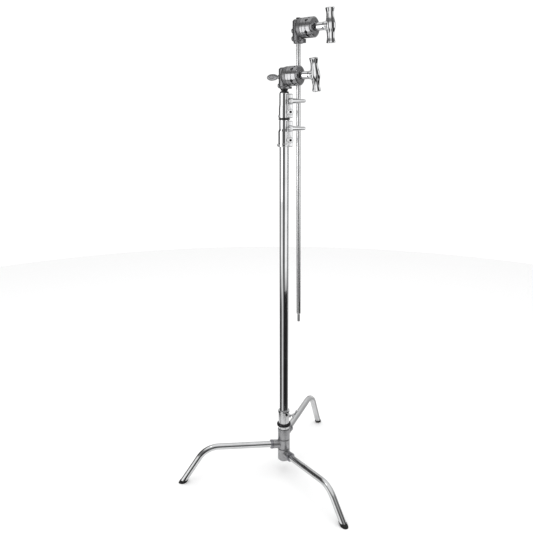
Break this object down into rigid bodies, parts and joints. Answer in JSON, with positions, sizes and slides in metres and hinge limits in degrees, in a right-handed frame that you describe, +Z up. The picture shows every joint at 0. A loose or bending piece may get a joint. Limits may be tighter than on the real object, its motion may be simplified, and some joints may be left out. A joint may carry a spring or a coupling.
{
  "type": "c stand",
  "caption": "Century stand: nested bent-leg base, telescoping chrome column with lever locks, and two grip heads holding an arm.",
  "frame": {"origin": "on the floor, under the middle of the footprint", "axes": "+Z up the column; -Y faces the viewer of the reference view; +X to the viewer's right, the side of the grip heads' T-handles"},
  "size_m": [0.6684, 0.8008, 1.8171],
  "materials": {
    "bottom_leg_casting": "satin grey casting",
    "bottom_leg_tube": "polished chrome plate",
    "bottom_leg_foot": "black rubber",
    "bottom_leg_socket_ring": "dark satin steel",
    "base_screw": "dark satin steel",
    "column_tube": "polished chrome plate",
    "lower_collar": "polished chrome plate",
    "lower_clamp_bolt": "dark satin steel",
    "middle_leg_casting": "satin grey casting",
    "middle_leg_tube": "polished chrome plate",
    "middle_leg_foot": "black rubber",
    "middle_leg_socket_ring": "dark satin steel",
    "slider_sleeve": "polished chrome plate",
    "slider_flange": "dark satin steel",
    "slider_wing_screw": "polished chrome plate",
    "sliding_leg_casting": "satin grey casting",
    "sliding_leg_tube": "polished chrome plate",
    "sliding_leg_foot": "black rubber",
    "sliding_leg_socket_ring": "dark satin steel",
    "lower_lock_lever": "polished chrome plate",
    "lower_lock_nut": "dark satin steel",
    "riser_2_tube": "polished chrome plate",
    "upper_collar": "polished chrome plate",
    "upper_clamp_bolt": "dark satin steel",
    "collar_spacer": "black moulded plastic",
    "upper_lock_lever": "polished chrome plate",
    "upper_lock_nut": "dark satin steel",
    "riser_3_tube": "polished chrome plate",
    "riser_3_cap": "black moulded plastic",
    "baby_pin": "polished chrome plate",
    "lower_head_receiver": "satin grey casting",
    "lower_head_bolt": "polished chrome plate",
    "lower_head_set_screw": "polished chrome plate",
    "lower_head_wing_screw": "polished chrome plate",
    "lower_head_inner_jaw": "satin grey casting",
    "lower_head_outer_jaw": "satin grey casting",
    "lower_head_washer": "dark satin steel",
    "lower_head_bearing": "black moulded plastic",
    "lower_head_t_handle": "polished chrome plate",
    "arm_rod": "polished chrome plate",
    "arm_stud": "polished chrome plate",
    "arm_top_cap": "black moulded plastic",
    "upper_head_receiver": "satin grey casting",
    "upper_head_bolt": "polished chrome plate",
    "upper_head_set_screw_1": "polished chrome plate",
    "upper_head_set_screw_2": "polished chrome plate",
    "upper_head_inner_jaw": "satin grey casting",
    "upper_head_outer_jaw": "satin grey casting",
    "upper_head_washer": "dark satin steel",
    "upper_head_bearing": "black moulded plastic",
    "upper_head_t_handle": "polished chrome plate"
  },
  "bodies": {
    "base": {"bottom_leg_casting": "bottom_leg_casting", "bottom_leg_tube": "bottom_leg_tube", "bottom_leg_foot": "bottom_leg_foot", "bottom_leg_socket_ring": "bottom_leg_socket_ring", "base_screw": "base_screw", "column_tube": "column_tube", "lower_collar": "lower_collar", "lower_clamp_bolt": "lower_clamp_bolt"},
    "middle_leg": {"middle_leg_casting": "middle_leg_casting", "middle_leg_tube": "middle_leg_tube", "middle_leg_foot": "middle_leg_foot", "middle_leg_socket_ring": "middle_leg_socket_ring"},
    "slider": {"slider_sleeve": "slider_sleeve", "slider_flange": "slider_flange"},
    "slider_wing": {"slider_wing_screw": "slider_wing_screw"},
    "sliding_leg": {"sliding_leg_casting": "sliding_leg_casting", "sliding_leg_tube": "sliding_leg_tube", "sliding_leg_foot": "sliding_leg_foot", "sliding_leg_socket_ring": "sliding_leg_socket_ring"},
    "lower_lock": {"lower_lock_lever": "lower_lock_lever", "lower_lock_nut": "lower_lock_nut"},
    "riser_2": {"riser_2_tube": "riser_2_tube", "upper_collar": "upper_collar", "upper_clamp_bolt": "upper_clamp_bolt", "collar_spacer": "collar_spacer"},
    "upper_lock": {"upper_lock_lever": "upper_lock_lever", "upper_lock_nut": "upper_lock_nut"},
    "riser_3": {"riser_3_tube": "riser_3_tube", "riser_3_cap": "riser_3_cap", "baby_pin": "baby_pin"},
    "lower_head": {"lower_head_receiver": "lower_head_receiver", "lower_head_bolt": "lower_head_bolt", "lower_head_set_screw": "lower_head_set_screw"},
    "pin_wing": {"lower_head_wing_screw": "lower_head_wing_screw"},
    "lower_jaws": {"lower_head_inner_jaw": "lower_head_inner_jaw", "lower_head_outer_jaw": "lower_head_outer_jaw", "lower_head_washer": "lower_head_washer", "lower_head_bearing": "lower_head_bearing"},
    "lower_handle": {"lower_head_t_handle": "lower_head_t_handle"},
    "arm": {"arm_rod": "arm_rod", "arm_stud": "arm_stud", "arm_top_cap": "arm_top_cap", "upper_head_receiver": "upper_head_receiver", "upper_head_bolt": "upper_head_bolt", "upper_head_set_screw_1": "upper_head_set_screw_1", "upper_head_set_screw_2": "upper_head_set_screw_2"},
    "upper_jaws": {"upper_head_inner_jaw": "upper_head_inner_jaw", "upper_head_outer_jaw": "upper_head_outer_jaw", "upper_head_washer": "upper_head_washer", "upper_head_bearing": "upper_head_bearing"},
    "upper_handle": {"upper_head_t_handle": "upper_head_t_handle"}
  },
  "joints": [
    {"name": "middle_leg_swing", "type": "hinge", "parent": "base", "child": "middle_leg", "pos_m": [0.09827, -0.01232, 0.115], "axis": [0, 0, 1], "range_deg": [0, 92]},
    {"name": "slider_slide", "type": "slide", "parent": "base", "child": "slider", "axis": [0, 0, 1], "range_m": [0, 0.25]},
    {"name": "sliding_leg_swing", "type": "hinge", "parent": "slider", "child": "sliding_leg", "pos_m": [0.09827, -0.01232, 0.165], "axis": [0, 0, 1], "range_deg": [-114, 0]},
    {"name": "slider_wing_turn", "type": "hinge", "parent": "slider", "child": "slider_wing", "pos_m": [0.09827, -0.01232, 0.237], "axis": [0.8829, 0.4695, 0], "range_deg": [-360, 0]},
    {"name": "lower_lock_turn", "type": "hinge", "parent": "base", "child": "lower_lock", "pos_m": [0.11777, -0.02432, 1.4155], "axis": [0.225, -0.9744, 0], "range_deg": [-90, 0]},
    {"name": "riser_2_slide", "type": "slide", "parent": "base", "child": "riser_2", "axis": [0, 0, 1], "range_m": [0, 0.85]},
    {"name": "upper_lock_turn", "type": "hinge", "parent": "riser_2", "child": "upper_lock", "pos_m": [0.11777, -0.02432, 1.512], "axis": [0.225, -0.9744, 0], "range_deg": [-90, 0]},
    {"name": "riser_3_slide", "type": "slide", "parent": "riser_2", "child": "riser_3", "axis": [0, 0, 1], "range_m": [0, 0.85]},
    {"name": "head_swivel", "type": "hinge", "parent": "riser_3", "child": "lower_head", "pos_m": [0.09827, -0.01232, 1.599], "axis": [0, 0, 1], "range_deg": [-3, 250]},
    {"name": "pin_wing_turn", "type": "hinge", "parent": "lower_head", "child": "pin_wing", "pos_m": [0.09827, -0.01232, 1.5975], "axis": [-0.8387, 0.5446, 0], "range_deg": [-360, 0]},
    {"name": "lower_jaws_turn", "type": "hinge", "parent": "lower_head", "child": "lower_jaws", "pos_m": [0.09827, -0.01232, 1.599], "axis": [0.8387, -0.5446, 0], "range_deg": [-2, 100]},
    {"name": "lower_handle_turn", "type": "hinge", "parent": "lower_head", "child": "lower_handle", "pos_m": [0.09827, -0.01232, 1.599], "axis": [0.8387, -0.5446, 0], "range_deg": [-360, 0]},
    {"name": "arm_slide", "type": "slide", "parent": "lower_jaws", "child": "arm", "axis": [-0.0086, -0.0132, 0.9999], "range_m": [-0.06, 0.85]},
    {"name": "upper_jaws_turn", "type": "hinge", "parent": "arm", "child": "upper_jaws", "pos_m": [0.1474, -0.0248, 1.75878], "axis": [0.8387, -0.5446, 0], "continuous": true},
    {"name": "upper_handle_turn", "type": "hinge", "parent": "arm", "child": "upper_handle", "pos_m": [0.1474, -0.0248, 1.75878], "axis": [0.8387, -0.5446, 0], "range_deg": [-360, 0]}
  ]
}
